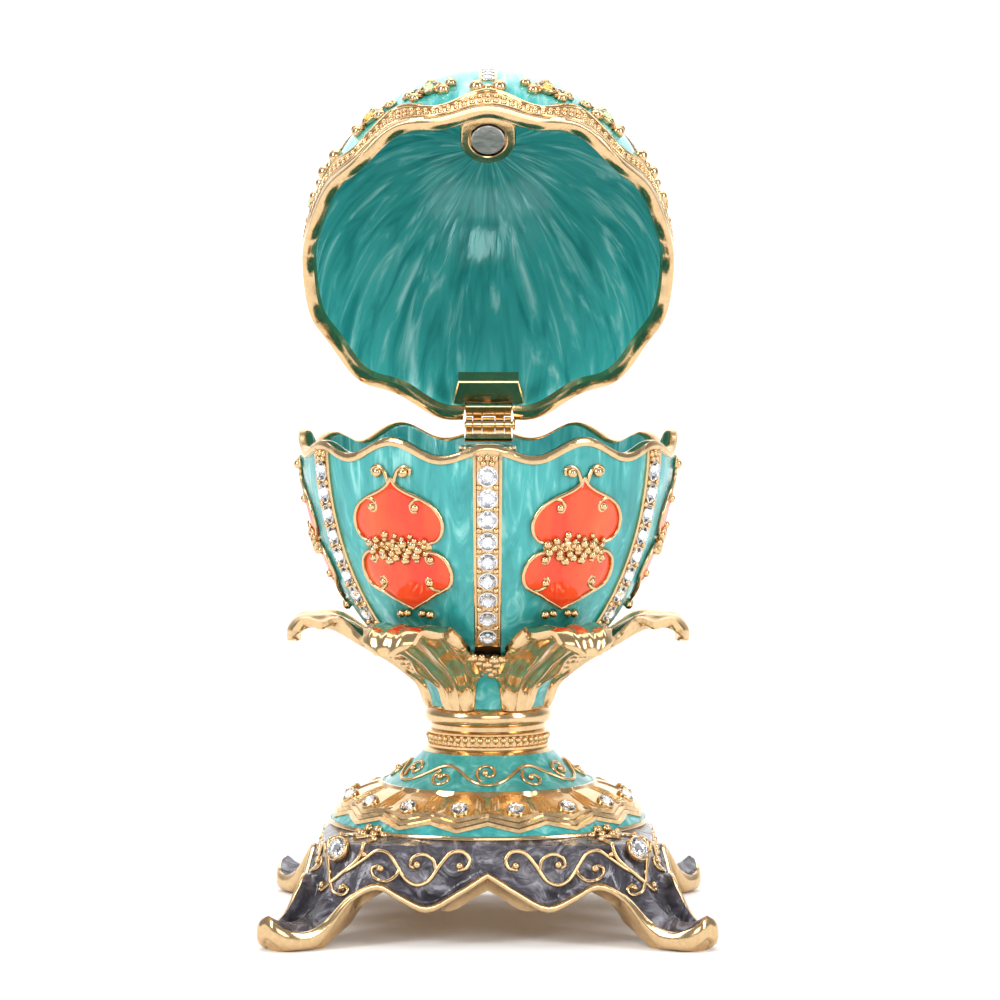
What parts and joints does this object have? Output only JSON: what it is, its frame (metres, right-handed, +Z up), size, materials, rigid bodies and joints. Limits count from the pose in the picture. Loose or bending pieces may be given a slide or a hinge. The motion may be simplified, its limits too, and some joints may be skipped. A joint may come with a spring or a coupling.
{
  "type": "jewelled egg trinket box",
  "caption": "Egg-shaped enamelled trinket box with a hinged lid standing open, in an acanthus cup on a square stand with curled feet, trimmed with gold wirework and set stones.",
  "frame": {"origin": "centre of the whole object's bounding box, lid open, on the plane that the feet stand on", "axes": "+Z up through the egg, -Y towards the front where the lid opens, hinge pin along X at the back"},
  "size_m": [0.0558, 0.0672, 0.1075],
  "materials": {
    "stand_enamel": "glossy charcoal pearl enamel on the skirt, teal enamel on the cone, gold-plated edges and wires",
    "teal_enamel": "glossy pearl enamel with gold-plated rim, bands and wires",
    "gold_plate": "polished pale gold plating",
    "magnet_steel": "plain nickel-plated disc",
    "crystal": "clear faceted stones"
  },
  "bodies": {
    "base": {"stand": "stand_enamel", "leaf_cup": "gold_plate", "egg_bowl": "teal_enamel", "bowl_hinge_leaf": "gold_plate", "hinge_pin": "gold_plate", "bowl_magnet": "magnet_steel", "corner_stone_front_right": "crystal", "corner_stone_back_right": "crystal", "corner_stone_back_left": "crystal", "corner_stone_front_left": "crystal", "chevron_stone_01": "crystal", "chevron_stone_02": "crystal", "chevron_stone_03": "crystal", "chevron_stone_04": "crystal", "chevron_stone_05": "crystal", "chevron_stone_06": "crystal", "chevron_stone_07": "crystal", "chevron_stone_08": "crystal", "chevron_stone_09": "crystal", "chevron_stone_10": "crystal", "chevron_stone_11": "crystal", "chevron_stone_12": "crystal", "chevron_stone_13": "crystal", "chevron_stone_14": "crystal", "chevron_stone_15": "crystal", "chevron_stone_16": "crystal"},
    "lid": {"egg_lid": "teal_enamel", "lid_hinge_leaf": "gold_plate", "lid_magnet": "magnet_steel"}
  },
  "joints": [
    {"name": "lid_hinge", "type": "hinge", "parent": "base", "child": "lid", "pos_m": [0, 0.01889, 0.061], "axis": [-1, 0, 0], "range_deg": [-56.5, 40]}
  ]
}
